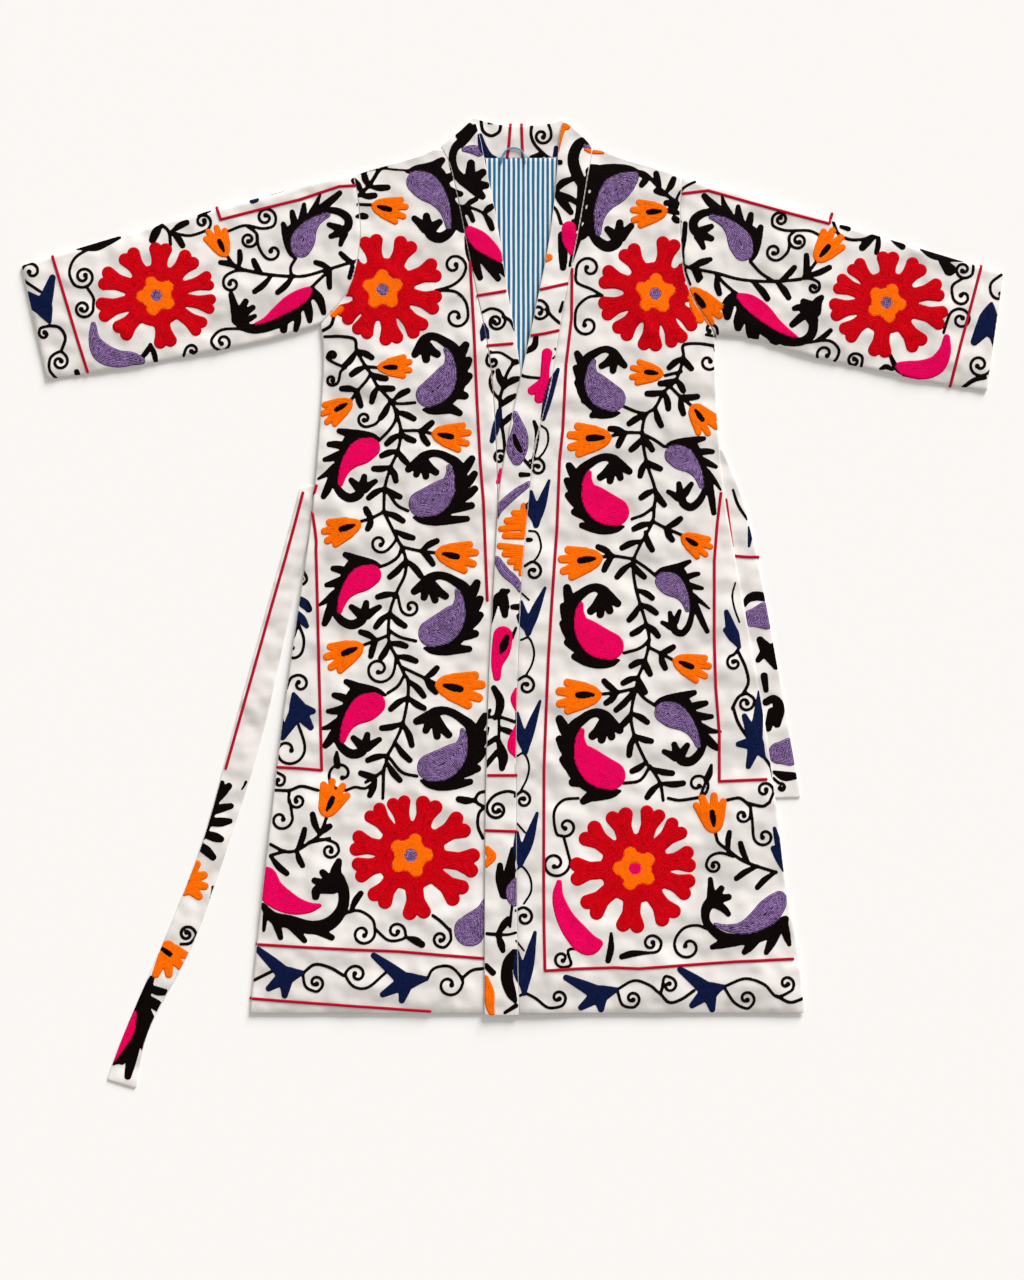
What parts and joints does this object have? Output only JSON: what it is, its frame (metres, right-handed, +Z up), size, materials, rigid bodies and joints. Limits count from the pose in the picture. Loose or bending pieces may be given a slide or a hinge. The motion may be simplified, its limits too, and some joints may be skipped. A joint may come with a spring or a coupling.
{
  "type": "embroidered coat laid flat",
  "caption": "Long open-front coat laid flat with wide sleeves, a wrapped front band, a striped lining at the neck and a loose tie belt.",
  "frame": {"origin": "middle of the outline of coat and belt, on the surface it lies on", "axes": "+Z up from the surface, +Y towards the collar, +X towards the wearer's left sleeve"},
  "size_m": [1.3252, 1.31, 0.0085],
  "materials": {
    "cotton": "matte plain-woven cotton, hand embroidered in chain stitch",
    "striped_lining": "matte cotton with narrow stripes",
    "loop_cord": "thin woven cord"
  },
  "bodies": {
    "root": {"back": "cotton", "front_right": "cotton", "front_left": "cotton", "sleeve_right": "cotton", "sleeve_left": "cotton", "band_right": "cotton", "band_left": "cotton", "collar_back": "cotton", "lining_back": "striped_lining", "hanger_loop": "loop_cord", "belt_right": "cotton", "belt_left": "cotton"}
  },
  "joints": []
}
